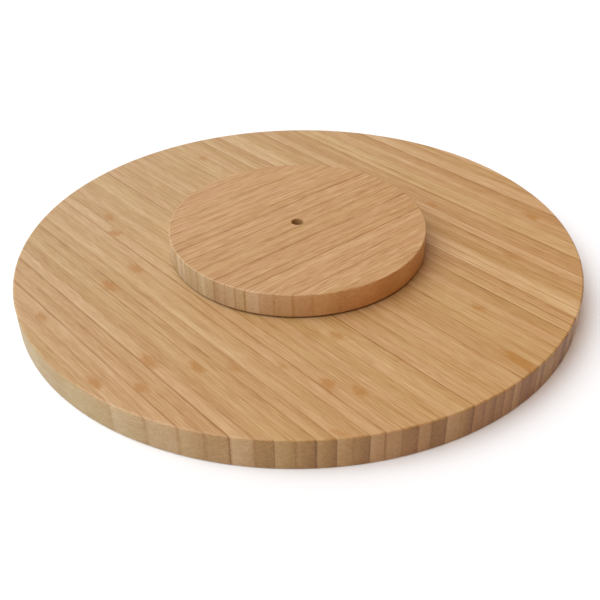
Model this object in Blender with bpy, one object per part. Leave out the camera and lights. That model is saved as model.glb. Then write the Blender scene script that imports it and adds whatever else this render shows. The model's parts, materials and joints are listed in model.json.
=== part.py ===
"""A bamboo lazy susan: a round serving board that turns on a small base board.

It lies upside down, as it is stored: the serving face is on the surface at z = 0 and the
base board, which stands on the table in use, is on top. Metres, +Z up. The origin is the
centre of the serving face, and every piece turns about Z.

Each board carries a pressed steel race plate in a pocket in its inner face. Steel balls in
a nylon cage roll between the two plates. A cheese head screw goes in through the hole in
the base board, through the base's plate and into a brass insert in the serving board, and
so holds the two halves together.
"""

import math

import bmesh
import bpy

MM = 0.001

# Driving dimensions
BOARD_RADIUS = 175 * MM
BOARD_THICKNESS = 19 * MM
BASE_RADIUS = 80 * MM
BASE_THICKNESS = 15 * MM
RUNNING_GAP = 1 * MM  # between the two boards
ACCESS_HOLE_RADIUS = 3.8 * MM  # in the base board, for the screwdriver
BALL_RADIUS = 3 * MM
BALL_COUNT = 12
BALL_CIRCLE_RADIUS = 42 * MM
PLATE_RADIUS = 55 * MM
PLATE_THICKNESS = 1.2 * MM
PLATE_SCREWS = 4
BASE_TURN = math.radians(88.6)  # how far the base's grain stands round from the board's

# Fits
FIT = 0.3 * MM  # between pieces that rest on or in each other
ROLLING_FIT = 0.12 * MM  # between a ball and its groove

# Worked out from them
HEIGHT = BOARD_THICKNESS + RUNNING_GAP + BASE_THICKNESS
PLATE_RECESS = 1 * MM  # a plate's face below its board's inner face
PLATE_SPACING = RUNNING_GAP + 2 * PLATE_RECESS
POCKET_DEPTH = PLATE_RECESS + PLATE_THICKNESS + FIT
BALL_HEIGHT = BOARD_THICKNESS + RUNNING_GAP / 2

# How round things are drawn
BOARD_SEGMENTS = 96
PLATE_SEGMENTS = 64
SMALL_SEGMENTS = 24
ROUND_STEPS = 3  # on an eased edge or in a groove's half

COLOURS = {  # linear colour, roughness, metallic
    "board_bamboo": ((0.56, 0.35, 0.18), 0.5, 0.0),
    "base_bamboo": ((0.55, 0.33, 0.17), 0.55, 0.0),
    "pressed_steel": ((0.62, 0.62, 0.60), 0.35, 1.0),
    "ball_steel": ((0.78, 0.78, 0.78), 0.12, 1.0),
    "zinc_steel": ((0.66, 0.67, 0.70), 0.3, 1.0),
    "nylon": ((0.80, 0.79, 0.74), 0.45, 0.0),
    "brass": ((0.78, 0.57, 0.24), 0.3, 1.0),
}


def clear_scene():
    for old in list(bpy.data.objects):
        bpy.data.objects.remove(old, do_unlink=True)


def material(slot):
    found = bpy.data.materials.get(slot)
    if found:
        return found
    colour, roughness, metallic = COLOURS[slot]
    made = bpy.data.materials.new(slot)
    made.use_nodes = True
    shader = made.node_tree.nodes["Principled BSDF"]
    shader.inputs["Base Color"].default_value = (*colour, 1)
    shader.inputs["Roughness"].default_value = roughness
    shader.inputs["Metallic"].default_value = metallic
    return made


def arc(centre, radius, first, last, steps=ROUND_STEPS):
    """Points (r, z) on an arc, from the first angle to the last, in degrees."""
    angles = [math.radians(first + (last - first) * i / steps) for i in range(steps + 1)]
    return [(centre[0] + radius * math.cos(a), centre[1] + radius * math.sin(a)) for a in angles]


def turned_mesh(name, profile, segments):
    """A profile of (radius, height) points turned about Z.

    A profile that starts and ends on the axis makes a solid, and any other a closed ring.
    """
    shape = bmesh.new()
    points = [shape.verts.new((r, 0, z)) for r, z in profile]
    on_axis = profile[0][0] == 0
    ends = zip(points, points[1:] if on_axis else points[1:] + points[:1])
    lines = [shape.edges.new(pair) for pair in ends]
    bmesh.ops.spin(
        shape, geom=points + lines, axis=(0, 0, 1), angle=math.tau, steps=segments, use_merge=True
    )
    bmesh.ops.remove_doubles(shape, verts=shape.verts, dist=0.001 * MM)
    bmesh.ops.recalc_face_normals(shape, faces=shape.faces)
    return finished(name, shape)


def finished(name, shape):
    """The bmesh as a mesh, shaded smooth across its round faces."""
    mesh = bpy.data.meshes.new(name)
    shape.to_mesh(mesh)
    shape.free()
    mesh.shade_smooth()
    mesh.set_sharp_from_angle(angle=math.radians(35))
    return mesh


def place(name, mesh, slot, parent=None, location=(0, 0, 0), rotation=(0, 0, 0)):
    """A named object in its parent's frame, or in the world's if it has none."""
    made = bpy.data.objects.new(name, mesh)
    bpy.context.scene.collection.objects.link(made)
    if not mesh.materials:
        mesh.materials.append(material(slot))
    made.parent = parent
    made.location = location
    made.rotation_euler = rotation
    return made


def on_circle(count, radius, height=0.0):
    """(angle, location) of evenly spaced places on a circle about Z."""
    angles = [math.tau * i / count for i in range(count)]
    return [(a, (radius * math.cos(a), radius * math.sin(a), height)) for a in angles]


def drill(body, name, places, profile, segments=SMALL_SEGMENTS):
    """Cuts the turned profile out of the body at each place, in the body's own frame."""
    tool = turned_mesh(name, profile, segments)
    shape = bmesh.new()
    for x, y, z in places:
        added = bmesh.new()
        added.from_mesh(tool)
        bmesh.ops.translate(added, verts=added.verts, vec=(x, y, z))
        copy = bpy.data.meshes.new(name)
        added.to_mesh(copy)
        added.free()
        shape.from_mesh(copy)
    cut_with(body, place(name, finished(name, shape), "zinc_steel", parent=body))


def cut_with(body, cutter):
    cutter.hide_render = True
    cutter.display_type = "WIRE"
    cut = body.modifiers.new(cutter.name, "BOOLEAN")
    cut.operation = "DIFFERENCE"
    cut.solver = "EXACT"
    cut.object = cutter


# The boards. In a board's own frame its outer face is at z = 0 and its inner face, with
# the bearing's pocket, is at z = thickness.

GROOVE_DEPTH = BALL_RADIUS + ROLLING_FIT - PLATE_SPACING / 2  # of the ball track in a plate
TRACK_RADIUS = BALL_RADIUS * 1.1  # the track's own arc, a little slacker than the ball
RELIEF_DEPTH = GROOVE_DEPTH + FIT  # for the back of the pressed track
RELIEF_HALF_WIDTH = 5.2 * MM
SCREW_CIRCLE_RADIUS = 28 * MM
PLATE_SCREW_LENGTH = 10 * MM
PLATE_SCREW_RADIUS = 1.5 * MM


def board_blank(radius, thickness, edge_round):
    """A disc with eased rims, the plate's pocket and the relief ring under its ball track."""
    floor = thickness - POCKET_DEPTH
    relief = floor - RELIEF_DEPTH
    track_out = BALL_CIRCLE_RADIUS + RELIEF_HALF_WIDTH
    track_in = BALL_CIRCLE_RADIUS - RELIEF_HALF_WIDTH
    pocket = PLATE_RADIUS + FIT
    return [
        (0, 0),
        *arc((radius - edge_round, edge_round), edge_round, -90, 0),
        *arc((radius - edge_round, thickness - edge_round), edge_round, 0, 90),
        (pocket, thickness),
        (pocket, floor),
        (track_out, floor),
        (track_out, relief),
        (track_in, relief),
        (track_in, floor),
        (0, floor),
    ]


def add_board(name, radius, thickness, edge_round, slot, parent):
    """A board with pilot holes for its plate's screws."""
    mesh = turned_mesh(name, board_blank(radius, thickness, edge_round), BOARD_SEGMENTS)
    board = place(name, mesh, slot, parent)
    floor = thickness - POCKET_DEPTH
    pilot = PLATE_SCREW_RADIUS + FIT
    depth = PLATE_SCREW_LENGTH - (POCKET_DEPTH - PLATE_RECESS) + FIT
    hole = [(0, -depth), (pilot, -depth), (pilot, FIT), (0, FIT)]
    spots = [place_ for _, place_ in on_circle(PLATE_SCREWS, SCREW_CIRCLE_RADIUS, floor)]
    drill(board, name + "_pilot_drill", spots, hole, segments=12)
    return board


# The race plates. In a plate's own frame its face, with the ball track, is at z = 0 and
# its back is at z = -PLATE_THICKNESS.

COUNTERSINK_RADIUS = 2.8 * MM  # of a plate screw's head at the top


def track_points(radius, first, last):
    """The ball track's cross-section, seen from the ball's side."""
    centre = (BALL_CIRCLE_RADIUS, TRACK_RADIUS - GROOVE_DEPTH)
    return arc(centre, radius, first, last, steps=2 * ROUND_STEPS)


def race_plate(name, hole_radius, parent, face_height):
    """A pressed disc whose ball track stands out at the back, with countersunk holes."""
    lip = math.degrees(math.asin((TRACK_RADIUS - GROOVE_DEPTH) / TRACK_RADIUS))
    back = TRACK_RADIUS + PLATE_THICKNESS
    back_lip = math.degrees(
        math.asin((TRACK_RADIUS - GROOVE_DEPTH + PLATE_THICKNESS) / back)
    )
    profile = [
        (hole_radius, 0),
        *track_points(TRACK_RADIUS, 180 + lip, 360 - lip),
        (PLATE_RADIUS, 0),
        (PLATE_RADIUS, -PLATE_THICKNESS),
        *track_points(back, 360 - back_lip, 180 + back_lip),
        (hole_radius, -PLATE_THICKNESS),
    ]
    mesh = turned_mesh(name, profile, PLATE_SEGMENTS)
    plate = place(name, mesh, "pressed_steel", parent, location=(0, 0, face_height))
    head, shank = COUNTERSINK_RADIUS + FIT, PLATE_SCREW_RADIUS + FIT
    hole = [
        (0, -2 * PLATE_THICKNESS),
        (shank, -2 * PLATE_THICKNESS),
        (shank, shank - head),
        (head, 0),
        (head, FIT),
        (0, FIT),
    ]
    spots = [place_ for _, place_ in on_circle(PLATE_SCREWS, SCREW_CIRCLE_RADIUS)]
    drill(plate, name + "_screw_drill", spots, hole, segments=16)
    return plate


# The screws. In a screw's own frame the top of its head is at z = 0 and it points down.


def cross_recess(screw, arm, width, depth):
    """Cuts a cross for the screwdriver into the top of a screw."""
    shape = bmesh.new()
    half = width / 2
    outline = [(arm, -half), (arm, half), (half, half)]
    corners = []
    for turn in range(4):
        angle = turn * math.pi / 2
        c, s = round(math.cos(angle)), round(math.sin(angle))
        corners += [shape.verts.new((c * x - s * y, s * x + c * y, -depth)) for x, y in outline]
    floor = shape.faces.new(corners)
    risen = bmesh.ops.extrude_face_region(shape, geom=[floor])["geom"]
    top = [v for v in risen if isinstance(v, bmesh.types.BMVert)]
    bmesh.ops.translate(shape, verts=top, vec=(0, 0, depth + FIT))
    bmesh.ops.recalc_face_normals(shape, faces=shape.faces)
    name = screw.name + "_driver_tool"
    cut_with(screw, place(name, finished(name, shape), "zinc_steel", parent=screw))


def plate_screw(name, parent, location, rotation):
    """A countersunk wood screw with a cross recess."""
    head_drop = COUNTERSINK_RADIUS - PLATE_SCREW_RADIUS
    tip = 2 * PLATE_SCREW_RADIUS
    profile = [
        (0, -PLATE_SCREW_LENGTH),
        (PLATE_SCREW_RADIUS, tip - PLATE_SCREW_LENGTH),
        (PLATE_SCREW_RADIUS, -head_drop),
        (COUNTERSINK_RADIUS, 0),
        (0, 0),
    ]
    mesh = turned_mesh(name, profile, 16)
    screw = place(name, mesh, "zinc_steel", parent, location, rotation)
    cross_recess(screw, arm=1.4 * MM, width=0.6 * MM, depth=0.9 * MM)
    return screw


def half_assembly(half, radius, thickness, edge_round, plate_hole, slot, parent):
    """One board with its race plate and that plate's screws, in the board's own frame."""
    board = add_board(half + "_board", radius, thickness, edge_round, slot, parent)
    plate_height = thickness - PLATE_RECESS
    race_plate(half + "_race_plate", plate_hole, parent, plate_height)
    head_height = plate_height - 0.1 * MM
    spots = on_circle(PLATE_SCREWS, SCREW_CIRCLE_RADIUS, head_height)
    for number, (angle, spot) in enumerate(spots, start=1):
        plate_screw(f"{half}_plate_screw_{number}", parent, spot, (0, 0, angle))
    return board


# The bearing between the plates


def ball_cage():
    """A flat nylon ring with a round pocket for each ball."""
    half_width, half_thickness = 6 * MM, 0.8 * MM
    outer, inner = BALL_CIRCLE_RADIUS + half_width, BALL_CIRCLE_RADIUS - half_width
    profile = [
        (inner, -half_thickness),
        (outer, -half_thickness),
        (outer, half_thickness),
        (inner, half_thickness),
    ]
    mesh = turned_mesh("ball_cage", profile, PLATE_SEGMENTS)
    cage = place("ball_cage", mesh, "nylon", location=(0, 0, BALL_HEIGHT))
    pocket, reach = BALL_RADIUS + FIT, 2 * half_thickness
    hole = [(0, -reach), (pocket, -reach), (pocket, reach), (0, reach)]
    spots = [place_ for _, place_ in on_circle(BALL_COUNT, BALL_CIRCLE_RADIUS)]
    drill(cage, "ball_pocket_drill", spots, hole)


def balls():
    """The balls share a mesh. Each one's own Z axis points outwards: it rolls about it."""
    shape = bmesh.new()
    bmesh.ops.create_uvsphere(shape, u_segments=12, v_segments=8, radius=BALL_RADIUS)
    mesh = finished("ball", shape)
    spots = on_circle(BALL_COUNT, BALL_CIRCLE_RADIUS, BALL_HEIGHT)
    for number, (angle, spot) in enumerate(spots, start=1):
        outwards = (0, math.pi / 2, angle)
        place(f"ball_{number:02d}", mesh, "ball_steel", location=spot, rotation=outwards)


# The pivot on the axis. Heights here are above the serving face.

PIVOT_RADIUS = 2 * MM  # M4
PIVOT_LENGTH = 16 * MM  # under the head
PIVOT_HEAD_RADIUS = 3.5 * MM
PIVOT_HEAD_HEIGHT = 2.6 * MM
INSERT_RADIUS = 4 * MM
INSERT_LENGTH = 8 * MM
BUSH_RADIUS = 3.5 * MM
BUSH_FLANGE_RADIUS = 6 * MM
BUSH_FLANGE_THICKNESS = 1.2 * MM
WASHER_RADIUS = 4.5 * MM
WASHER_THICKNESS = 0.8 * MM
PLATE_BACK = BOARD_THICKNESS + RUNNING_GAP + PLATE_RECESS + PLATE_THICKNESS
FLANGE_FOOT = PLATE_BACK + FIT
WASHER_FOOT = FLANGE_FOOT + BUSH_FLANGE_THICKNESS + FIT
HEAD_FOOT = WASHER_FOOT + WASHER_THICKNESS + FIT
PIVOT_BORE = PIVOT_RADIUS + FIT


def threaded_insert():
    """A brass insert in the serving board, which the pivot screw's thread holds in."""
    top = BOARD_THICKNESS - POCKET_DEPTH - FIT
    chamfer = 0.5 * MM
    foot = top - INSERT_LENGTH
    profile = [
        (PIVOT_BORE, foot),
        (INSERT_RADIUS - chamfer, foot),
        (INSERT_RADIUS, foot + chamfer),
        (INSERT_RADIUS, top),
        (PIVOT_BORE, top),
    ]
    place("threaded_insert", turned_mesh("threaded_insert", profile, SMALL_SEGMENTS), "brass")


def pivot_bush():
    """A flanged nylon bush that hangs in the base plate's hole and lines it."""
    foot = PLATE_BACK - PLATE_THICKNESS - FIT
    top = FLANGE_FOOT + BUSH_FLANGE_THICKNESS
    profile = [
        (PIVOT_BORE, foot),
        (BUSH_RADIUS, foot),
        (BUSH_RADIUS, FLANGE_FOOT),
        (BUSH_FLANGE_RADIUS, FLANGE_FOOT),
        (BUSH_FLANGE_RADIUS, top),
        (PIVOT_BORE, top),
    ]
    place("pivot_bush", turned_mesh("pivot_bush", profile, SMALL_SEGMENTS), "nylon")


def pivot_washer():
    top = WASHER_FOOT + WASHER_THICKNESS
    profile = [
        (PIVOT_BORE, WASHER_FOOT),
        (WASHER_RADIUS, WASHER_FOOT),
        (WASHER_RADIUS, top),
        (PIVOT_BORE, top),
    ]
    place("pivot_washer", turned_mesh("pivot_washer", profile, SMALL_SEGMENTS), "zinc_steel")


def pivot_screw():
    """The cheese head machine screw on the axis, its head down in the access hole."""
    chamfer = 0.5 * MM
    tip = -PIVOT_HEAD_HEIGHT - PIVOT_LENGTH
    profile = [
        (0, tip),
        (PIVOT_RADIUS - chamfer, tip),
        (PIVOT_RADIUS, tip + chamfer),
        (PIVOT_RADIUS, -PIVOT_HEAD_HEIGHT),
        (PIVOT_HEAD_RADIUS, -PIVOT_HEAD_HEIGHT),
        (PIVOT_HEAD_RADIUS, -chamfer),
        (PIVOT_HEAD_RADIUS - chamfer, 0),
        (0, 0),
    ]
    mesh = turned_mesh("pivot_screw", profile, SMALL_SEGMENTS)
    top = (0, 0, HEAD_FOOT + PIVOT_HEAD_HEIGHT)
    screw = place("pivot_screw", mesh, "zinc_steel", location=top)
    cross_recess(screw, arm=2.2 * MM, width=0.9 * MM, depth=1.5 * MM)


def bore_serving_board(board):
    """The blind hole for the threaded insert."""
    top = BOARD_THICKNESS - POCKET_DEPTH
    foot = top - INSERT_LENGTH - 3 * FIT
    radius = INSERT_RADIUS + FIT
    hole = [(0, foot), (radius, foot), (radius, top + FIT), (0, top + FIT)]
    drill(board, "insert_drill", [(0, 0, 0)], hole)


def bore_base_board(board):
    """The access hole, and the wider room inside it for the bush's flange and washer."""
    floor = BASE_THICKNESS - POCKET_DEPTH
    flange_room = floor - (HEAD_FOOT - PLATE_BACK)
    wide = BUSH_FLANGE_RADIUS + 2 * FIT
    hole = [
        (0, -FIT),
        (ACCESS_HOLE_RADIUS, -FIT),
        (ACCESS_HOLE_RADIUS, flange_room),
        (wide, flange_room),
        (wide, floor + FIT),
        (0, floor + FIT),
    ]
    drill(board, "access_drill", [(0, 0, 0)], hole, segments=32)


def upside_down_on_top():
    """The frame of the base half: turned over, its outer face at the full height."""
    frame = bpy.data.objects.new("base_half", None)
    bpy.context.scene.collection.objects.link(frame)
    frame.location = (0, 0, HEIGHT)
    frame.rotation_euler = (math.pi, 0, BASE_TURN)
    return frame


def main():
    clear_scene()
    board = half_assembly(
        "serving", BOARD_RADIUS, BOARD_THICKNESS, 1.2 * MM, PIVOT_BORE + FIT, "board_bamboo", None
    )
    bore_serving_board(board)
    base = half_assembly(
        "base", BASE_RADIUS, BASE_THICKNESS, 0.8 * MM, BUSH_RADIUS + FIT, "base_bamboo",
        upside_down_on_top(),
    )
    bore_base_board(base)
    ball_cage()
    balls()
    threaded_insert()
    pivot_bush()
    pivot_washer()
    pivot_screw()


main()
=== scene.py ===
import json
import math
import random

import bmesh
import bpy
from mathutils import Matrix, Vector


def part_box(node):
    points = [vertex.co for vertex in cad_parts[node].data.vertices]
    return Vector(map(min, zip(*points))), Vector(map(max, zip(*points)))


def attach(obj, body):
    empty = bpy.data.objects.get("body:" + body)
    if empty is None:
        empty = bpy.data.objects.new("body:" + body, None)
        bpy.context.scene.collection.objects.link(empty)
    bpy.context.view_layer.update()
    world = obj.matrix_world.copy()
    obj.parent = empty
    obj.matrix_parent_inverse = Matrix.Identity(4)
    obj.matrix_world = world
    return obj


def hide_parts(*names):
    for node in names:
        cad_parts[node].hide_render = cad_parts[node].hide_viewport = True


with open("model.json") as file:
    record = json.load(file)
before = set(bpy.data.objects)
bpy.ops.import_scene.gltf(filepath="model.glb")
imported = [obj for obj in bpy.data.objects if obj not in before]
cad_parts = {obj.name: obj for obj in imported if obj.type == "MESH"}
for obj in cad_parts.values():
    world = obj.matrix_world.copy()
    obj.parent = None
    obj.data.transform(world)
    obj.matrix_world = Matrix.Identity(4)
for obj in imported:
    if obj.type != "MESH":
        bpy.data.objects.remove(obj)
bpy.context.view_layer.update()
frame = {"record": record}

# --- The serving board -------------------------------------------------------------------
# A 350 mm disc of side-pressed bamboo: staves set on edge, glued side by side and pressed
# into a slab, which is turned to a disc, routed for the race plate, sanded and oiled.
# It lies face down, so the routed side is up.

MM = 0.001
BOARD_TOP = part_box("serving_board")[1]
BOARD_RADIUS = BOARD_TOP.x
BOARD_EASE = 1.1 * MM  # radius of the sanded rims
BOARD_STAVES = (6.4 * MM, 8.0 * MM)  # narrowest and widest
POCKET_RADIUS = 55.3 * MM  # routed for the race plate
POCKET_DEPTH = 2.5 * MM
RELIEF = (36.8 * MM, 47.2 * MM)  # routed ring behind the plate's ball track
RELIEF_DEPTH = 1.92 * MM
INSERT_HOLE = (4.3 * MM, 8.9 * MM)  # radius, depth below the pocket
PLATE_SCREW_CIRCLE = 28 * MM
PILOT_RADIUS = 1.8 * MM
PILOT_DEPTH = 8.8 * MM
JOINT_HALF_WIDTH = 0.11 * MM  # of the fine furrow that sanding leaves at a glue joint
JOINT_DEPTH = 0.03 * MM
HUB_RADIUS = 12 * MM  # round the axis, inside which there are no furrows
FLAT = 0.999  # how nearly straight up or down a flat face's normal points
SHADED_FLAT = 0.995  # the same, for a face that isn't shaded smooth
RIM_FROM = 0.9  # of the radius, beyond which a face is an outer one
RING_GAP = (190 * MM, 280 * MM)  # between two growth rings of a stave
CLEAR_RING_GAP = (200 * MM, 280 * MM)  # the same, where the first stands out
FAINT_RING = 0.25  # how strong a growth ring is at most that doesn't stand out
LIVELY_FROM = 30 * MM  # across the staves, beyond which they differ more
BOARD_KNOTS = (  # where growth rings stand out, in mm along and across, and how strongly
    *((-140, 30, 0.7), (-110, -68, 0.8), (-90, -80, 0.9), (-45, -92, 1), (-40, -114, 1.1)),
    *((-40, -157, 0.8), (0, -100, 0.7), (35, -137, 1.1), (55, -122, 0.9), (70, -108, 0.7)),
    *((50, -151, 0.8), (30, -165, 0.9), (85, -86, 0.6), (85, -45, 0.7), (165, 10, 1.7)),
    *((140, -96, 0.6), (25, 105, 0.8), (80, 140, 0.9), (100, 85, 0.7)),
)


def arc(centre, radius, first, last, steps=4):
    """Points (r, z) on an arc from the first angle to the last, in degrees."""
    turns = [math.radians(first + (last - first) * i / steps) for i in range(steps + 1)]
    return [(centre[0] + radius * math.cos(a), centre[1] + radius * math.sin(a)) for a in turns]


def turned(profile, segments):
    """A closed bmesh: the (radius, height) profile turned about the axis.

    A profile that starts on the axis ends on it too. Any other is a ring's whole outline.
    """
    shape = bmesh.new()
    around = [math.tau * i / segments for i in range(segments)]
    rings = []
    for r, z in profile:
        if r == 0:
            rings.append([shape.verts.new((0, 0, z))] * segments)
        else:
            rings.append([shape.verts.new((r * math.cos(a), r * math.sin(a), z)) for a in around])
    solid = profile[0][0] == 0
    for one, other in zip(rings, rings[1:] if solid else rings[1:] + rings[:1]):
        for i in range(segments):
            j = (i + 1) % segments
            corners = dict.fromkeys((one[i], one[j], other[j], other[i]))
            shape.faces.new(list(corners))
    bmesh.ops.recalc_face_normals(shape, faces=shape.faces)
    return shape


def meshed(name, shape):
    """The bmesh as a mesh, shaded smooth across its round faces."""
    mesh = bpy.data.meshes.new(name)
    shape.to_mesh(mesh)
    shape.free()
    mesh.shade_smooth()
    mesh.set_sharp_from_angle(angle=math.radians(35))
    return mesh


def at_places(mesh, places):
    """One mesh that holds a copy of the mesh at each place, given as a matrix."""
    shape = bmesh.new()
    for place in places:
        copy = mesh.copy()
        copy.transform(place)
        shape.from_mesh(copy)
        bpy.data.meshes.remove(copy)
    return meshed(mesh.name, shape)


def cut(mesh, tool):
    """The mesh with the tool's shape taken out of it."""
    blank, cutter = [bpy.data.objects.new(m.name, m) for m in (mesh, tool)]
    for made in (blank, cutter):
        bpy.context.scene.collection.objects.link(made)
    step = blank.modifiers.new("cut", "BOOLEAN")
    step.operation, step.solver, step.object = "DIFFERENCE", "EXACT", cutter
    bpy.context.view_layer.update()
    seen = blank.evaluated_get(bpy.context.evaluated_depsgraph_get())
    result = bpy.data.meshes.new_from_object(seen)
    for made in (blank, cutter):
        bpy.data.objects.remove(made)
    return result


def on_circle(count, radius, height, turn=0.0):
    """Places evenly spaced on a circle about the axis, each with its X axis outwards."""
    angles = [turn + math.tau * i / count for i in range(count)]
    return [
        Matrix.Rotation(a, 4, "Z") @ Matrix.Translation((radius, 0, height)) for a in angles
    ]


def piloted(shape, floor, depth):
    """The board's blank with four pilot holes for its plate's screws, depth below its floor."""
    radius, over = PILOT_RADIUS, math.copysign(0.3 * MM, depth)
    hole = turned([(0, over), (radius, over), (radius, -depth), (0, -depth)], 24)
    spots = on_circle(4, PLATE_SCREW_CIRCLE, floor)
    drilled = cut(meshed("blank", shape), at_places(meshed("pilot_holes", hole), spots))
    shape = bmesh.new()
    shape.from_mesh(drilled)
    return shape


def stave_joints(radius, widths, draw):
    """Where the glue joints run: distances from the middle of the slab.

    The last stave is no narrower than 0.6 of the narrowest whole one.
    """
    joints, at = [], -radius + draw.uniform(*widths)
    while at < radius - widths[0] * 0.6:
        joints.append(at)
        at += draw.uniform(*widths)
    return joints


def furrow(shape, joints):
    """Splits every face at the joints and sinks a fine furrow along each."""
    close, offsets = 0.01 * MM, (-JOINT_HALF_WIDTH, 0, JOINT_HALF_WIDTH)
    lines = [joint + offset for joint in joints for offset in offsets]
    for line in lines:
        bmesh.ops.bisect_plane(
            shape,
            geom=shape.verts[:] + shape.edges[:] + shape.faces[:],
            dist=close / 5,
            plane_co=(0, line, 0),
            plane_no=(0, 1, 0),
        )
    shape.normal_update()

    def on_one_of(places, vert):
        return any(abs(vert.co.y - place) < close for place in places)

    def on_flat(part):
        return any(abs(face.normal.z) > FLAT for face in part.link_faces)

    def past_hub(vert):
        return math.hypot(vert.co.x, vert.co.y) > HUB_RADIUS

    for edge in shape.edges:
        one, other = edge.verts
        level = abs(one.co.y - other.co.y) < close
        edge.seam = level and on_one_of(lines, one) and on_one_of(lines, other)
    edges = [e for e in shape.edges if on_flat(e)]
    verts = [v for v in shape.verts if on_flat(v) and past_hub(v)]
    bmesh.ops.dissolve_limit(
        shape, angle_limit=0.001, verts=verts, edges=edges, delimit={"SEAM"}
    )
    shape.normal_update()
    middles = [v for v in shape.verts if on_one_of(joints, v) and past_hub(v)]
    sunk = [vert.co - vert.normal * JOINT_DEPTH for vert in middles]
    for vert, place in zip(middles, sunk):
        vert.co = place


def staved_piece(name, shape, joints, turn, draw, liveliness, knots=()):
    """The slab as an object, with each face told its stave, and each point its place.

    place is along, across and up the staves. stave is the stave's tone, hue and shift of
    grain; joint its middle, half width and the lean of its tone; glue how dark its two
    joints are, and its liveliness; knots where its growth rings are, along it, and how
    strong. end_grain and rim are how far an outer face is cut end, and how far it is rim.
    """
    mesh = bpy.data.meshes.new(name)
    for face in shape.faces:
        face.smooth = abs(face.normal.z) < SHADED_FLAT
    shape.to_mesh(mesh)
    shape.free()
    reach = max(abs(v.co.y) for v in mesh.vertices)
    bounds = [-reach, *joints, reach]
    glue = [draw.random() ** 2 for _ in bounds]
    staves = []
    for number, (low, high) in enumerate(zip(bounds, bounds[1:])):
        life = liveliness((low + high) / 2)
        first = draw.uniform(-1.2, 1) * reach
        second = first + draw.uniform(*RING_GAP)
        strength = FAINT_RING * draw.random()
        for along, across, strong in knots:
            if low < across * MM < high:
                first, strength = along * MM, strong
                second = first + draw.uniform(*CLEAR_RING_GAP)
        staves.append({
            "stave": (draw.gauss(0, life), draw.uniform(-1, 1), draw.uniform(0, 3)),
            "joint": ((low + high) / 2, (high - low) / 2, draw.uniform(-0.2, 1)),
            "glue": (glue[number], glue[number + 1], life),
            "knots": (first, second, strength),
        })
    place = mesh.attributes.new("place", "FLOAT_VECTOR", "POINT")
    place.data.foreach_set("vector", [c for v in mesh.vertices for c in v.co])
    owners = [sum(face.center.y > joint for joint in joints) for face in mesh.polygons]
    for word in ("stave", "joint", "glue", "knots"):
        kept = mesh.attributes.new(word, "FLOAT_VECTOR", "FACE")
        kept.data.foreach_set("vector", [c for owner in owners for c in staves[owner][word]])
    outside = [face.center.length > RIM_FROM * reach for face in mesh.polygons]
    ends = mesh.attributes.new("end_grain", "FLOAT", "FACE")
    ends.data.foreach_set("value", [abs(f.normal.x) * o for f, o in zip(mesh.polygons, outside)])
    rim = mesh.attributes.new("rim", "FLOAT", "FACE")
    sides = [1 - abs(face.normal.z) for face in mesh.polygons]
    rim.data.foreach_set("value", [side * o for side, o in zip(sides, outside)])
    mesh.transform(Matrix.Rotation(turn, 4, "Z"))
    made = bpy.data.objects.new(name, mesh)
    bpy.context.scene.collection.objects.link(made)
    return made


class Socket:
    """A value in a shader. Arithmetic on it adds Math nodes."""

    def __init__(self, nodes, link):
        self.nodes, self.link = nodes, link

    def math(self, operation, *values):
        return self.nodes.node("ShaderNodeMath", {"operation": operation}, dict(enumerate(values)))

    def __add__(self, other):
        return self.math("ADD", self, other)

    def __sub__(self, other):
        return self.math("SUBTRACT", self, other)

    def __rsub__(self, other):
        return self.math("SUBTRACT", other, self)

    def __mul__(self, other):
        return self.math("MULTIPLY", self, other)

    def __truediv__(self, other):
        return self.math("DIVIDE", self, other)

    def __rtruediv__(self, other):
        return self.math("DIVIDE", other, self)

    def __pow__(self, other):
        return self.math("POWER", self, other)

    def __rpow__(self, other):
        return self.math("POWER", other, self)

    def __abs__(self):
        return self.math("ABSOLUTE", self)

    __radd__ = __add__
    __rmul__ = __mul__

    def above(self, other):
        return self.math("GREATER_THAN", self, other)

    def ramp(self, low, high, first=0, last=1):
        """A smooth step from first, where the value is low, to last, where it is high."""
        return self.nodes.node(
            "ShaderNodeMapRange",
            {"interpolation_type": "SMOOTHSTEP"},
            {0: self, 1: low, 2: high, 3: first, 4: last},
        )

    def split(self):
        """The X, Y and Z of a vector."""
        return [
            self.nodes.node("ShaderNodeSeparateXYZ", {}, {0: self}, output) for output in range(3)
        ]


class Nodes:
    """A tree of shader nodes."""

    def __init__(self, tree):
        self.tree = tree

    def node(self, kind, settings, sockets, output=0):
        """Adds a node: its settings first, then its sockets' values or links."""
        made = self.tree.nodes.new(kind)
        stops = settings.pop("stops", None)
        for word, value in settings.items():
            setattr(made, word, value)
        if stops:
            ramp = made.color_ramp
            while len(ramp.elements) < len(stops):
                ramp.elements.new(1)
            for element, (at, colour) in zip(ramp.elements, stops):
                element.position, element.color = at, colour
        for key, value in sockets.items():
            self.feed(made.inputs[key], value)
        return Socket(self, made.outputs[output])

    def feed(self, socket, value):
        if isinstance(value, Socket):
            self.tree.links.new(value.link, socket)
        else:
            socket.default_value = value

    def attribute(self, word, output="Vector"):
        return self.node("ShaderNodeAttribute", {"attribute_name": word}, {}, output)

    def vector(self, x, y, z):
        return self.node("ShaderNodeCombineXYZ", {}, {0: x, 1: y, 2: z})

    def noise(self, vector, detail=1.0):
        """Noise about zero, from about -1 to 1."""
        raw = self.node("ShaderNodeTexNoise", {}, {"Vector": vector, "Scale": 1, "Detail": detail})
        return (raw - 0.5) * 4

    def blend(self, factor, first, second, mode="MIX"):
        """Mixes two colours by the factor."""
        return self.node(
            "ShaderNodeMix",
            {"data_type": "RGBA", "blend_type": mode},
            {0: factor, 6: first, 7: second},
            2,
        )


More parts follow.
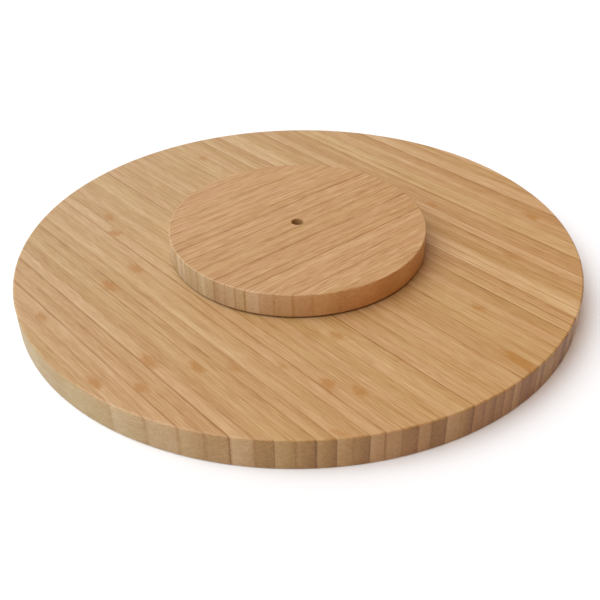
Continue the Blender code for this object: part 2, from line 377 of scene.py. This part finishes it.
class Finish(Nodes):
    """A material whose shader is written as expressions."""

    def __init__(self, name):
        self.material = bpy.data.materials.new(name)
        self.material.use_nodes = True
        super().__init__(self.material.node_tree)
        self.shader = self.tree.nodes["Principled BSDF"]

    def bump(self, strength, depth, height):
        """The surface's normal, bent by the height. A height of 1 is that depth."""
        return self.node(
            "ShaderNodeBump", {}, {"Strength": strength, "Distance": depth, "Height": height}
        )

    def wear(self, **inputs):
        """Sets the shader's sockets by name, with _ for a space."""
        for word, value in inputs.items():
            self.feed(self.shader.inputs[word.replace("_", " ")], value)
        return self.material


def colour(red, green, blue):
    """Display values, 0 to 255, as a linear colour."""
    parts = [c / 255 for c in (red, green, blue)]
    linear = [p / 12.92 if p <= 0.04045 else ((p + 0.055) / 1.055) ** 2.4 for p in parts]
    return (*linear, 1)


def bamboo(name, base_tone, dashes, fibres, cords, spread, end_look, end_tint_and_sheen, side_tint_and_painted_light, tints_and_sheen):
    """Oiled side-pressed bamboo, from the faces' staves and the points' places.

    dashes, fibres and cords are how strong the short dark fibres, the fine streaks and the
    long streaks are, and spread how far the staves' tones differ. end_look is how much
    darker the cut ends are, and how much more they differ from stave to stave and across
    each stave. The end tint and the side tint tint the rim's cut ends and its long grain.
    Besides the wood's own colour they hold painted light: a paler, bluer painted sheen on
    the serving board's long grain and the base's cut ends, and a warmer painted shade on
    the base's long grain. The wood drifts along from one of the two tints to the other, a
    painted sheen that turns it greyer and bluer towards one end where the two differ.
    """
    finish = Finish(name)
    along, across, up = [part / MM for part in finish.attribute("place").split()]
    tone, hue, shift = finish.attribute("stave").split()
    middle, half, lean = finish.attribute("joint").split()
    glue_low, glue_high, life = finish.attribute("glue").split()
    knot_a, knot_b, knot_strength = finish.attribute("knots").split()
    end, rim = finish.attribute("end_grain", "Fac"), finish.attribute("rim", "Fac")
    shifted = along + shift * APART

    def streaks(length, width, detail=1.0, across=across):
        """Noise drawn out along the grain: length and width are of one streak, in mm."""
        return finish.noise(finish.vector(shifted / length, across / width, up / width), detail)

    side = (across - middle / MM) / (half / MM)
    nearest = (half / MM) * (1 - abs(side))
    glue = glue_low + (glue_high - glue_low) * side.above(0)
    broken = streaks(60, 30).ramp(-1, 0.5, 0.35, 1)
    joint = nearest.ramp(0.1, 0.95, 1, 0) * (0.25 + rim * 0.25 + glue) * broken

    wander, fleck = streaks(5, 2, 2), streaks(1.8, 0.7, 2).ramp(0, 1)
    knots, swell = 0, 0
    for knot in (knot_a, knot_b):
        reach = along - knot / MM
        stretched = reach / (4 + knot_strength * 3.5)
        oval = (stretched * stretched + (side * 0.8 - hue * 0.3) ** 2) ** 0.5 + wander * 0.45
        tail = abs(reach).ramp(2, 26, 0.3, 0) * (1 - abs(side) * 0.6) * knot_strength
        core = oval.ramp(0.1, 0.6, 0.35, 0)
        knots = oval.ramp(0.25, 1.2, 1, 0) + tail + core + knots
        swell = abs(reach).ramp(0, 11, 1, 0) + swell
    knots = knots * knot_strength

    bent = across + side * swell * knot_strength * 0.9
    flank = rim * (1 - end * end)
    dense = (1 + side * lean * 0.5) * (1 - rim * 0.4)
    fibre = streaks(22, 0.6, 2, bent)
    hair = streaks(9, 0.4, 2, bent)
    cord = streaks(90, 1.5, 1, bent)
    drift = streaks(45, 5)
    vein = streaks(130, 0.6, 2, bent).ramp(0.35, 1.1)
    dash = streaks(10, 0.36, 2, bent).ramp(0.25, 1.1)
    value = (
        base_tone
        + tone * (spread * (1 - flank * 0.6) + end * end_look[1])
        + side * lean * (0.09 - flank * 0.06 + end * end_look[2])
        + (fibre * 0.9 + hair * 1.3) * fibres * dense
        + (cord + vein * 2.2 - 0.3) * cords * life
        + drift * spread * 0.5
        + dash * dashes * dense
        + joint * (0.23 - rim * 0.07 - flank * 0.04)
        + knots * fleck * 0.24
        + end * end * end_look[0]
    )
    stops = [(i / (len(BAMBOO_TONES) - 1), tone) for i, tone in enumerate(BAMBOO_TONES)]
    wood = finish.node("ShaderNodeValToRGB", {"stops": stops}, {0: value})
    yellowness = hue * 0.6 + finish.noise(finish.vector(shifted / 30, across / 6, up / 6)) * 0.5
    yellower = yellowness.ramp(-1, 1) * (0.55 + end * end_look[2] * 3.5)
    wood = finish.blend(yellower, wood, YELLOW_TINT, "MULTIPLY")
    # painted sheen: the two tints turn the wood greyer and bluer towards one end of the staves
    drift_and_sheen = finish.blend((along / (BOARD_RADIUS / MM)).ramp(-1, 1), *tints_and_sheen)
    wood = finish.blend(1, wood, drift_and_sheen, "MULTIPLY")
    wood = finish.blend(knots.ramp(0, 1.5, 0, 0.75), wood, RING_BROWN)
    # the end tint: the cut ends' own colour, and on the base also a paler, bluer painted sheen
    wood = finish.blend(end * end, wood, end_tint_and_sheen, "MULTIPLY")
    # the side tint: the long grain's own colour, with painted sheen on the serving board and
    # painted warm shade on the base
    wood = finish.blend(flank, wood, side_tint_and_painted_light, "MULTIPLY")
    height = fibre * 0.3 + hair * 0.2 - dash * 0.7 - joint * 0.8
    return finish.wear(
        Base_Color=wood,
        Roughness=0.45 + fibre * 0.04 + dash * 0.08 + rim * 0.09,
        Normal=finish.bump(0.7, 0.06 * MM, height),
        IOR=1.45,
        Coat_Weight=0.2 - rim * 0.1,
        Coat_Roughness=0.38,
    )


def board_blank():
    """The serving board's outline, from the middle of its face round to its pocket."""
    radius, ease, height = BOARD_RADIUS, BOARD_EASE, BOARD_TOP.z
    floor = height - POCKET_DEPTH
    hole, hole_foot = INSERT_HOLE[0], floor - INSERT_HOLE[1]
    return [
        (0, 0),
        *arc((radius - ease, ease), ease, -90, 0),
        *arc((radius - ease, height - ease), ease, 0, 90),
        (POCKET_RADIUS, height),
        (POCKET_RADIUS, floor),
        (RELIEF[1], floor),
        (RELIEF[1], floor - RELIEF_DEPTH),
        (RELIEF[0], floor - RELIEF_DEPTH),
        (RELIEF[0], floor),
        (hole, floor),
        (hole, hole_foot),
        (0, hole_foot),
    ]


board_draw = random.Random(11)
board_joints = stave_joints(BOARD_RADIUS, BOARD_STAVES, board_draw)
board_floor = BOARD_TOP.z - POCKET_DEPTH
board_shape = piloted(turned(board_blank(), 192), board_floor, PILOT_DEPTH)
furrow(board_shape, board_joints)
serving_board = staved_piece(
    "serving_board_staves",
    board_shape,
    board_joints,
    0,
    board_draw,
    liveliness=lambda across: 1.4 if across > LIVELY_FROM else 1,
    knots=BOARD_KNOTS,
)
BAMBOO_TONES = (  # from the palest wood to the darkest
    colour(216, 182, 144),
    colour(193, 152, 107),
    colour(171, 125, 75),
    colour(141, 93, 46),
    colour(96, 58, 30),
)
YELLOW_TINT = (0.93, 1.0, 0.8, 1)
RING_BROWN = colour(160, 112, 48)
APART = 1000  # mm along the grain, by which two staves' patterns may lie apart
serving_board.data.materials.append(
    bamboo(
        "oiled_bamboo_board",
        base_tone=0.36,
        dashes=0.08,
        fibres=0.1,
        cords=0.06,
        spread=0.045,
        end_look=(0.24, 0.09, 0.13),
        end_tint_and_sheen=(0.9, 0.855, 0.88, 1),
        # paler, bluer long grain: partly its own colour, partly painted sheen
        side_tint_and_painted_light=(0.94, 1.09, 1.27, 1),
        # painted sheen: greyer and bluer towards one end of the staves
        tints_and_sheen=((0.905, 1.05, 1.215, 1), (0.92, 0.98, 1.03, 1)),
    )
)
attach(serving_board, "board")
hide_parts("serving_board")

# --- The base board ----------------------------------------------------------------------
# A 160 mm disc of the same pressed bamboo with narrower staves and coarser fibres. Its
# grain stands nearly square to the serving board's. A hole in its middle lets a
# screwdriver through to the pivot screw.

BASE_FOOT, BASE_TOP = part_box("base_board")
BASE_RADIUS = BASE_TOP.x
BASE_TURN = math.radians(88.6)
BASE_EASE = 0.8 * MM
BASE_STAVES = (5.6 * MM, 7.4 * MM)
ACCESS_RADIUS = 3.8 * MM
ACCESS_ROOM = (6.6 * MM, 25.4 * MM)  # radius and top of the room for the bush's flange


def base_blank():
    """The base board's outline, from the mouth of the access hole round to its room."""
    radius, ease, foot, top = BASE_RADIUS, BASE_EASE, BASE_FOOT.z, BASE_TOP.z
    floor = foot + POCKET_DEPTH
    lip = 0.25 * MM
    return [
        (ACCESS_RADIUS, top - lip),
        (ACCESS_RADIUS + lip, top),
        *reversed(arc((radius - ease, top - ease), ease, 0, 90)),
        *reversed(arc((radius - ease, foot + ease), ease, -90, 0)),
        (POCKET_RADIUS, foot),
        (POCKET_RADIUS, floor),
        (RELIEF[1], floor),
        (RELIEF[1], floor + RELIEF_DEPTH),
        (RELIEF[0], floor + RELIEF_DEPTH),
        (RELIEF[0], floor),
        (ACCESS_ROOM[0], floor),
        ACCESS_ROOM,
        (ACCESS_RADIUS, ACCESS_ROOM[1]),
    ]


base_draw = random.Random(5)
base_joints = stave_joints(BASE_RADIUS, BASE_STAVES, base_draw)
base_floor = BASE_FOOT.z + POCKET_DEPTH
base_shape = piloted(turned(base_blank(), 128), base_floor, -PILOT_DEPTH)
furrow(base_shape, base_joints)
base_board = staved_piece(
    "base_board_staves",
    base_shape,
    base_joints,
    BASE_TURN,
    base_draw,
    liveliness=lambda across: 1,
)
base_board.data.materials.append(
    bamboo(
        "oiled_bamboo_base",
        base_tone=0.31,
        dashes=0.3,
        fibres=0.15,
        cords=0.04,
        spread=0.02,
        end_look=(0, 0.03, 0.06),
        # paler, bluer cut ends: partly their own colour, partly painted sheen
        end_tint_and_sheen=(1.05, 1.3, 1.8, 1),
        # oranger long grain: partly its own colour, partly painted warm shade
        side_tint_and_painted_light=(1.22, 1.08, 0.9, 1),
        tints_and_sheen=((0.88, 0.9, 0.935, 1), (0.88, 0.9, 0.935, 1)),
    )
)
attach(base_board, "base")
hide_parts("base_board")

# --- The race plates ---------------------------------------------------------------------
# Two discs of zinc plated sheet steel, 1.2 mm thick. Each is pressed so that a round track
# for the balls stands out at its back, and screwed into its board's pocket.

BODY_OF = {
    node: body for body, nodes in frame["record"]["behaviour"]["bodies"].items() for node in nodes
}
BALL_LOW, BALL_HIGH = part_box("ball_01")
BALL_RADIUS = (BALL_HIGH.z - BALL_LOW.z) / 2
BALL_LEVEL = (BALL_HIGH.z + BALL_LOW.z) / 2
BALL_CIRCLE = 42 * MM
BALL_PLAY = 0.12 * MM  # between a ball and the bottom of its track
PLATE_THICKNESS = 1.2 * MM
TRACK_ROUND = BALL_RADIUS * 1.1
SCREW_FLAT = 4 * MM  # to each side of the circle of screws
HEAD_ROOM = 3.1 * MM  # radius of the countersink


def eased(profile, ease, steps=3):
    """The closed profile with its corners rounded off, but for those that hardly turn.

    A rounding takes less than half of a side, so the two at its ends never meet.
    """
    rounded = []
    for before, at, after in zip(profile[-1:] + profile[:-1], profile, profile[1:] + profile[:1]):
        corner = Vector(at)
        back, on = Vector(before) - corner, Vector(after) - corner
        if back.angle(on) > math.radians(150):
            rounded.append(at)
            continue
        start = corner + back.normalized() * min(ease, back.length * 0.45)
        end = corner + on.normalized() * min(ease, on.length * 0.45)
        for i in range(steps + 1):
            t = i / steps
            rounded.append(tuple(start.lerp(corner, t).lerp(corner.lerp(end, t), t)))
    return rounded


def piece(node, name, mesh, finish):
    """A finished piece that stands for a CAD node and moves with it."""
    made = bpy.data.objects.new(name, mesh)
    bpy.context.scene.collection.objects.link(made)
    mesh.materials.clear()
    mesh.materials.append(finish)
    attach(made, BODY_OF[node])
    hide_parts(node)
    return made


def race_plate(hole_radius, plate_radius):
    """A plate lying on its back: its face is at z = 0 and its track is sunk in it."""
    depth = BALL_RADIUS + BALL_PLAY - (BALL_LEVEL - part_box("serving_race_plate")[1].z)
    centre = (BALL_CIRCLE, TRACK_ROUND - depth)
    back = TRACK_ROUND + PLATE_THICKNESS
    lip = math.degrees(math.asin(centre[1] / TRACK_ROUND))
    back_lip = math.degrees(math.asin((centre[1] + PLATE_THICKNESS) / back))
    beside = (PLATE_SCREW_CIRCLE - SCREW_FLAT, PLATE_SCREW_CIRCLE + SCREW_FLAT)
    profile = [
        (hole_radius, 0),
        (beside[0], 0),
        (beside[1], 0),
        *arc(centre, TRACK_ROUND, 180 + lip, 360 - lip, 14),
        (plate_radius, 0),
        (plate_radius, -PLATE_THICKNESS),
        *arc(centre, back, 360 - back_lip, 180 + back_lip, 14),
        (beside[1], -PLATE_THICKNESS),
        (beside[0], -PLATE_THICKNESS),
        (hole_radius, -PLATE_THICKNESS),
    ]
    over, shank = 0.5 * MM, PILOT_RADIUS
    sunk = HEAD_ROOM - shank
    hole = [
        (0, -2 * PLATE_THICKNESS),
        (shank, -2 * PLATE_THICKNESS),
        (shank, -sunk),
        (HEAD_ROOM + over, over),
        (0, over),
    ]
    plate = meshed("race_plate", turned(eased(profile, 0.25 * MM), 160))
    holes = at_places(meshed("countersinks", turned(hole, 40)), on_circle(4, PLATE_SCREW_CIRCLE, 0))
    plate = cut(plate, holes)
    plate.shade_smooth()
    plate.set_sharp_from_angle(angle=math.radians(30))
    return plate


def spots(finish, size, detail=1.0):
    """Noise over the piece, with spots of that size in mm."""
    place = finish.node("ShaderNodeTexCoord", {}, {}, "Object")
    scaled = finish.node(
        "ShaderNodeVectorMath", {"operation": "SCALE"}, {0: place, "Scale": 1 / (size * MM)}
    )
    return finish.noise(scaled, detail)


def pressed_steel():
    """Zinc plated sheet: clouded by the plating, and run bright and oily in the track."""
    finish = Finish("zinc_plated_sheet")
    x, y, _ = [part / MM for part in finish.node("ShaderNodeTexCoord", {}, {}, "Object").split()]
    radius = (x * x + y * y) ** 0.5
    track = abs(radius - BALL_CIRCLE / MM).ramp(0.4, 1.5, 1, 0)
    rings = finish.noise(finish.vector(radius / 0.12, 0, 0), 2) * track
    rolled = finish.noise(finish.vector(x / 9, y / 0.14, 0), 2)
    cloud, mottle = spots(finish, 7, 3), spots(finish, 0.9, 2)
    pale, dark, oil = colour(206, 208, 206), colour(168, 172, 176), colour(128, 118, 100)
    sheet = finish.blend((cloud + mottle * 0.4).ramp(-1, 1), pale, dark)
    oiled = finish.blend(track * 0.45, sheet, oil)
    return finish.wear(
        Base_Color=oiled,
        Metallic=1.0,
        Roughness=0.36 + cloud * 0.05 + rolled * 0.03 - track * 0.18,
        Normal=finish.bump(0.5, 0.02 * MM, rolled + rings * 2),
    )


sheet_finish = pressed_steel()
for half, hole_radius in (("serving", 2.6 * MM), ("base", 3.8 * MM)):
    node = half + "_race_plate"
    low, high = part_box(node)
    plate = race_plate(hole_radius, high.x)
    if half == "serving":
        plate.transform(Matrix.Translation((0, 0, high.z)))
    else:
        turned_over = Matrix.Rotation(BASE_TURN, 4, "Z") @ Matrix.Rotation(math.pi, 4, "X")
        plate.transform(Matrix.Translation((0, 0, low.z)) @ turned_over)
    piece(node, node + "_pressed", plate, sheet_finish)

# --- The plate screws --------------------------------------------------------------------
# Eight countersunk 3 x 10 mm wood screws of zinc plated steel, with a cross recess. Four
# hold each race plate in its pocket.

SCREW_HEAD = 2.8 * MM
SCREW_CREST, SCREW_CORE = 1.5 * MM, 1.05 * MM
SCREW_LENGTH = 10 * MM
SCREW_SIDES = 36
WOOD_PITCH = 1.25 * MM


def skinned(loops, closed=False):
    """A bmesh through loops of points, with flat ends unless it closes on itself."""
    shape = bmesh.new()
    lines = [[shape.verts.new(point) for point in loop] for loop in loops]
    for one, other in zip(lines, lines[1:] + lines[:1] if closed else lines[1:]):
        for i in range(len(one)):
            j = (i + 1) % len(one)
            shape.faces.new((one[i], one[j], other[j], other[i]))
    if not closed:
        shape.faces.new(lines[0])
        shape.faces.new(lines[-1])
    bmesh.ops.recalc_face_normals(shape, faces=shape.faces)
    return shape


def wrapped(rings, closed=False):
    """A bmesh through rings of points, each a (radius, height) pair for every angle."""
    loops = []
    for ring in rings:
        angles = [math.tau * i / len(ring) for i in range(len(ring))]
        loops.append([(r * math.cos(a), r * math.sin(a), z) for a, (r, z) in zip(angles, ring)])
    return skinned(loops, closed)


def plain_rings(profile, sides):
    """Round rings, one for each (radius, height) pair."""
    return [[point] * sides for point in profile]


def thread_rings(core, crest, pitch, foot, top, width, sides, point=0.0):
    """Rings of a thread from its foot to its top.

    width is how much of the pitch a ridge takes, and point the length of a tapering point.
    """
    steps = 12  # in one turn of the thread
    rings = []
    for step in range(int((top - foot) / pitch * steps) + 1):
        height = foot + step * pitch / steps
        fade = min(1, (top - height) / pitch, 1 if point else (height - foot) / pitch)
        taper = min(1, 0.12 + (height - foot) / point) if point else 1
        ring = []
        for side in range(sides):
            phase = (step / steps - side / sides) % 1
            ridge = min(1, max(0, 1.15 - abs(phase - 0.5) * 2.3 / width)) * fade
            ring.append(((core + (crest - core) * ridge) * taper, height))
        rings.append(ring)
    return rings


def cross_tool(arm, width, depth):
    """A cross that tapers inwards as it goes down, with its top just above z = 0."""
    loops = []
    for height, scale in ((0.2 * MM, 1.04), (-depth * 0.55, 0.8), (-depth, 0.28)):
        loop = []
        for turn in range(4):
            spin = Matrix.Rotation(turn * math.pi / 2, 4, "Z")
            half = width / 2 * (0.65 + 0.35 * scale)
            for x, y in ((arm * scale, -half), (arm * scale, half), (half, half)):
                loop.append(spin @ Vector((max(x, half), y, height)))
        loops.append(loop)
    return meshed("cross_tool", skinned(loops))


def wood_screw():
    """A countersunk screw, its head's top at z = 0, with a cross recess and a point."""
    drop = SCREW_HEAD - SCREW_CREST
    rings = thread_rings(
        SCREW_CORE,
        SCREW_CREST,
        WOOD_PITCH,
        foot=-SCREW_LENGTH,
        top=-drop - 0.3 * MM,
        width=0.45,
        sides=SCREW_SIDES,
        point=3 * MM,
    )
    rings += plain_rings(
        [
            (SCREW_CORE, -drop - 0.2 * MM),
            (SCREW_CREST * 0.95, -drop),
            (SCREW_HEAD - 0.12 * MM, -0.2 * MM),
            (SCREW_HEAD, -0.12 * MM),
            (SCREW_HEAD - 0.05 * MM, -0.03 * MM),
            (SCREW_HEAD - 0.15 * MM, 0),
        ],
        SCREW_SIDES,
    )
    return cut(meshed("plate_screw", wrapped(rings)), cross_tool(1.45 * MM, 0.62 * MM, 1.2 * MM))


def bright_zinc():
    """Zinc plating on small turned parts: bright, a little blue, clouded in patches."""
    finish = Finish("bright_zinc")
    pale, dark = colour(214, 218, 224), colour(170, 174, 178)
    cloud, speck = spots(finish, 1.6, 3), spots(finish, 0.25)
    return finish.wear(
        Base_Color=finish.blend((cloud + speck * 0.3).ramp(-1, 1), pale, dark),
        Metallic=1.0,
        Roughness=0.27 + cloud * 0.06 + speck * 0.03,
        Normal=finish.bump(0.4, 0.01 * MM, speck + cloud),
    )


zinc_finish = bright_zinc()
plate_screw = wood_screw()
screw_draw = random.Random(3)
for half in ("serving", "base"):
    for number in range(1, 5):
        node = f"{half}_plate_screw_{number}"
        low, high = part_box(node)
        over = half == "base"
        spot = Vector(((low.x + high.x) / 2, (low.y + high.y) / 2, low.z if over else high.z))
        drive = Matrix.Rotation(screw_draw.uniform(0, math.pi / 2), 4, "Z")
        screw = plate_screw.copy()
        screw.transform(Matrix.Translation(spot) @ Matrix.Rotation(math.pi * over, 4, "X") @ drive)
        screw.shade_smooth()
        screw.set_sharp_from_angle(angle=math.radians(40))
        piece(node, node + "_threaded", screw, zinc_finish)

# --- The balls and their cage ------------------------------------------------------------
# Twelve hardened and polished 6 mm steel balls run between the plates. A moulded ring of
# undyed nylon keeps them apart, each in its own round pocket.

BALLS = 12
CAGE_LOW, CAGE_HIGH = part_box("ball_cage")
CAGE_WIDTH = 12 * MM
POCKET_CLEARANCE = 0.3 * MM


def ball_cage():
    """The flat ring with a dimple from the mould's pins between its pockets."""
    half, outer = (CAGE_HIGH.z - CAGE_LOW.z) / 2, CAGE_HIGH.x
    inner = outer - CAGE_WIDTH
    profile = [(inner, -half), (outer, -half), (outer, half), (inner, half)]
    ring = meshed("ball_cage", turned(eased(profile, 0.35 * MM), 160))
    lip, reach, pocket = 0.25 * MM, 2 * half, BALL_RADIUS + POCKET_CLEARANCE
    dimple, mark = half - 0.12 * MM, 1 * MM
    hole = [
        (0, -reach),
        (pocket + reach - half + lip, -reach),
        (pocket, -half + lip),
        (pocket, half - lip),
        (pocket + reach - half + lip, reach),
        (0, reach),
    ]
    pin = [(0, dimple), (mark, dimple), (mark, reach), (0, reach)]
    pockets = at_places(meshed("pockets", turned(hole, 48)), on_circle(BALLS, BALL_CIRCLE, 0))
    between = on_circle(BALLS, BALL_CIRCLE, 0, math.pi / BALLS)
    marks = at_places(meshed("pin_marks", turned(pin, 24)), between)
    made = cut(cut(ring, pockets), marks)
    made.transform(Matrix.Translation((0, 0, BALL_LEVEL)))
    made.shade_smooth()
    made.set_sharp_from_angle(angle=math.radians(30))
    return made


def moulded_nylon():
    """Undyed nylon: milky, a little yellow, with a fine moulded grain."""
    finish = Finish("moulded_nylon")
    flow, grain = spots(finish, 6, 2), spots(finish, 0.12)
    milky = finish.blend(flow.ramp(-1, 1), colour(232, 228, 212), colour(220, 213, 190))
    return finish.wear(
        Base_Color=milky,
        Roughness=0.4 + flow * 0.04 + grain * 0.03,
        Normal=finish.bump(0.4, 0.01 * MM, grain),
        Subsurface_Weight=0.15,
        Subsurface_Scale=0.0008,
        IOR=1.53,
    )


def polished_steel():
    """Bearing steel: bright, with hair-fine tracks and a film of oil in places."""
    finish = Finish("polished_bearing_steel")
    film, hair = spots(finish, 2.5, 2), spots(finish, 0.3, 3)
    bright = finish.blend(film.ramp(-0.6, 1.2), colour(222, 222, 220), colour(190, 186, 178))
    return finish.wear(
        Base_Color=bright,
        Metallic=1.0,
        Roughness=0.1 + film.ramp(0, 1, 0, 0.1),
        Normal=finish.bump(0.15, 0.004 * MM, hair),
    )


nylon_finish, ball_finish = moulded_nylon(), polished_steel()
piece("ball_cage", "ball_cage_moulded", ball_cage(), nylon_finish)
for number in range(1, BALLS + 1):
    node = f"ball_{number:02d}"
    low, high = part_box(node)
    shape = bmesh.new()
    bmesh.ops.create_cube(shape, size=2)
    bmesh.ops.subdivide_edges(shape, edges=shape.edges, cuts=15, use_grid_fill=True)
    for vert in shape.verts:
        vert.co = (low + high) / 2 + vert.co.normalized() * BALL_RADIUS
    piece(node, node + "_lapped", meshed(node, shape), ball_finish)

# --- The pivot ---------------------------------------------------------------------------
# A cheese head M4 x 16 screw holds the halves together. It turns in a flanged nylon bush in
# the base's plate, on a steel washer, and its thread holds in a knurled brass insert that
# is pressed into the serving board.

M4_PITCH = 0.7 * MM
M4_CREST, M4_CORE = 1.98 * MM, 1.6 * MM
PIVOT_LENGTH, PIVOT_HEAD = 16 * MM, 2.6 * MM
KNURLS, KNURL_DEPTH = 36, 0.28 * MM
BORE = 2.3 * MM  # radius, in the insert, the bush and the washer


def knurled_insert(foot, top, radius):
    """A sleeve with two knurled bands, a groove between them, and a thread inside."""
    sides, teeth = KNURLS * 3, KNURL_DEPTH
    middle, groove, waist = (foot + top) / 2, 0.7 * MM, radius - 0.45 * MM
    outline = [  # radius, height, how deep every third side is cut
        (BORE, foot, 0),
        (radius - 0.7 * MM, foot, 0),
        (radius - 0.3 * MM, foot + 0.5 * MM, 0),
        (radius, foot + 0.8 * MM, teeth),
        (radius, middle - groove, teeth),
        (waist, middle - groove * 0.6, 0),
        (waist, middle + groove * 0.6, 0),
        (radius, middle + groove, teeth),
        (radius, top - 0.6 * MM, teeth),
        (radius - 0.3 * MM, top - 0.3 * MM, 0),
        (radius - 0.4 * MM, top, 0),
    ]
    rings = []
    for r, height, tooth in outline:
        rings.append([(r - tooth * (side % 3 == 0), height) for side in range(sides)])
    bore = thread_rings(BORE, BORE - 0.25 * MM, M4_PITCH, foot + 0.1 * MM, top, 0.95, sides)
    return meshed("threaded_insert", wrapped(rings + bore[::-1], closed=True))


def machine_screw(head_radius):
    """A cheese head screw, its head's top at z = 0, with a cross recess."""
    ease, seat, end = 0.25 * MM, -PIVOT_HEAD, -PIVOT_HEAD - PIVOT_LENGTH
    rings = plain_rings([(M4_CORE * 0.8, end)], SCREW_SIDES)
    rings += thread_rings(
        M4_CORE,
        M4_CREST,
        M4_PITCH,
        foot=end + 0.3 * MM,
        top=seat - 0.4 * MM,
        width=0.95,
        sides=SCREW_SIDES,
    )
    rings += plain_rings(
        [
            (M4_CORE, seat - 0.1 * MM),
            (M4_CORE + 0.15 * MM, seat),
            (head_radius - ease, seat),
            *arc((head_radius - ease, seat + ease), ease, -60, 0, 3),
            *arc((head_radius - 2 * ease, -2 * ease), 2 * ease, 0, 90, 6),
        ],
        SCREW_SIDES,
    )
    blank = meshed("pivot_screw", wrapped(rings))
    return cut(blank, cross_tool(2.25 * MM, 0.95 * MM, 1.8 * MM))


def turned_brass():
    """Turned brass, browned in patches by tarnish."""
    finish = Finish("turned_brass")
    clean, brown = colour(222, 186, 112), colour(152, 112, 58)
    tarnish, speck = spots(finish, 1.4, 3), spots(finish, 0.2)
    return finish.wear(
        Base_Color=finish.blend((tarnish + speck * 0.3).ramp(-0.4, 1.4), clean, brown),
        Metallic=1.0,
        Roughness=0.28 + tarnish * 0.08 + speck * 0.03,
        Normal=finish.bump(0.4, 0.01 * MM, speck),
    )


low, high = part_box("threaded_insert")
insert = knurled_insert(low.z, high.z, high.x)
piece("threaded_insert", "threaded_insert_knurled", insert, turned_brass())

low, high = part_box("pivot_bush")
sleeve, shoulder = 3.5 * MM, high.z - 1.2 * MM
bush = [
    (BORE, low.z),
    (sleeve, low.z),
    (sleeve, shoulder),
    (high.x, shoulder),
    (high.x, high.z),
    (BORE, high.z),
]
bush_mesh = meshed("pivot_bush", turned(eased(bush, 0.2 * MM), 72))
piece("pivot_bush", "pivot_bush_moulded", bush_mesh, nylon_finish)

low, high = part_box("pivot_washer")
washer = [(BORE, low.z), (high.x, low.z), (high.x, high.z), (BORE, high.z)]
washer_mesh = meshed("pivot_washer", turned(eased(washer, 0.18 * MM), 72))
piece("pivot_washer", "pivot_washer_stamped", washer_mesh, zinc_finish)

low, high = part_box("pivot_screw")
screw = machine_screw(high.x)
screw.transform(Matrix.Translation((0, 0, high.z)))
screw.shade_smooth()
screw.set_sharp_from_angle(angle=math.radians(40))
piece("pivot_screw", "pivot_screw_threaded", screw, zinc_finish)

# --- The floor, the light and the camera -------------------------------------------------
# A white sweep, as for a catalogue, under a soft light from the left and a weak warm one
# from low on the right. The sky is white and bright at the left, and dims to a warm brown.

FLOOR_RADIUS = 25.0
floor_shape = bmesh.new()
bmesh.ops.create_circle(floor_shape, cap_ends=True, segments=96, radius=FLOOR_RADIUS)
floor_mesh = bpy.data.meshes.new("floor")
floor_shape.to_mesh(floor_mesh)
floor_shape.free()
floor = bpy.data.objects.new("floor", floor_mesh)
bpy.context.scene.collection.objects.link(floor)
floor_finish = Finish("white_sweep")
floor_mesh.materials.append(floor_finish.wear(Base_Color=colour(238, 246, 253), Roughness=0.9))

AZIMUTH = math.radians(48.6)  # which way the camera looks, round from +Y
ELEVATION = math.radians(35.43)
ROLL = math.radians(-0.75)
right = Vector((math.cos(AZIMUTH), math.sin(AZIMUTH), 0))
away = Vector((-math.sin(AZIMUTH), math.cos(AZIMUTH), 0))
up = Vector((0, 0, 1))


def outward(heading, height):
    """A direction: its compass heading from the camera's right, and its height, in degrees."""
    a, e = math.radians(heading), math.radians(height)
    return (right * math.cos(a) + away * math.sin(a)) * math.cos(e) + up * math.sin(e)


def soft_light(name, strength, tint, heading, height):
    """A broad light, far off in that direction."""
    data = bpy.data.lights.new(name, "SUN")
    data.energy, data.color, data.angle = strength, tint, math.radians(60)
    light = bpy.data.objects.new(name, data)
    bpy.context.scene.collection.objects.link(light)
    light.rotation_euler = outward(heading, height).to_track_quat("Z", "Y").to_euler()


soft_light("soft_key", 1.96, (1, 1, 1), heading=198, height=58)
soft_light("warm_fill", 0.42, (1, 0.5, 0.25), heading=335, height=14)

world = bpy.data.worlds.new("studio")
bpy.context.scene.world = world
world.use_nodes = True
sky = Nodes(world.node_tree)
facing = sky.node("ShaderNodeTexCoord", {}, {}, "Generated")
nearness = sky.node(
    "ShaderNodeVectorMath",
    {"operation": "DOT_PRODUCT"},
    {0: facing, 1: outward(heading=166, height=30)},
    "Value",
)
brightness = nearness.ramp(-0.5, 1, 0.17, 1.14)
warmth = sky.blend(brightness ** 2.4, (1, 0.52, 0.24, 1), (1, 1, 1, 1))
glow = sky.node("ShaderNodeBackground", {}, {"Color": warmth, "Strength": brightness})
backdrop = sky.node("ShaderNodeBackground", {}, {"Color": (1, 1, 1, 1)})
seen = sky.node("ShaderNodeLightPath", {}, {}, "Is Camera Ray")
either = sky.node("ShaderNodeMixShader", {}, {0: seen, 1: glow, 2: backdrop})
sky.feed(sky.tree.nodes["World Output"].inputs["Surface"], either)

camera_data = bpy.data.cameras.new("camera")
camera_data.lens = 49.98
camera_data.sensor_width = 36
camera = bpy.data.objects.new("camera", camera_data)
bpy.context.scene.collection.objects.link(camera)
forward = away * math.cos(ELEVATION) - up * math.sin(ELEVATION)
over = away * math.sin(ELEVATION) + up * math.cos(ELEVATION)
camera_right = right * math.cos(ROLL) + over * math.sin(ROLL)
camera_up = over * math.cos(ROLL) - right * math.sin(ROLL)
aim = Vector((0, 0, BOARD_TOP.z))
shift_right, shift_up, distance = (part * BOARD_RADIUS for part in (-0.008, 0.205, 3.025))
camera.location = aim - camera_right * shift_right - camera_up * shift_up - forward * distance
turn = Matrix((camera_right, camera_up, -forward)).transposed()
camera.rotation_euler = turn.to_euler()
bpy.context.scene.camera = camera
bpy.context.scene.view_settings.view_transform = "Standard"
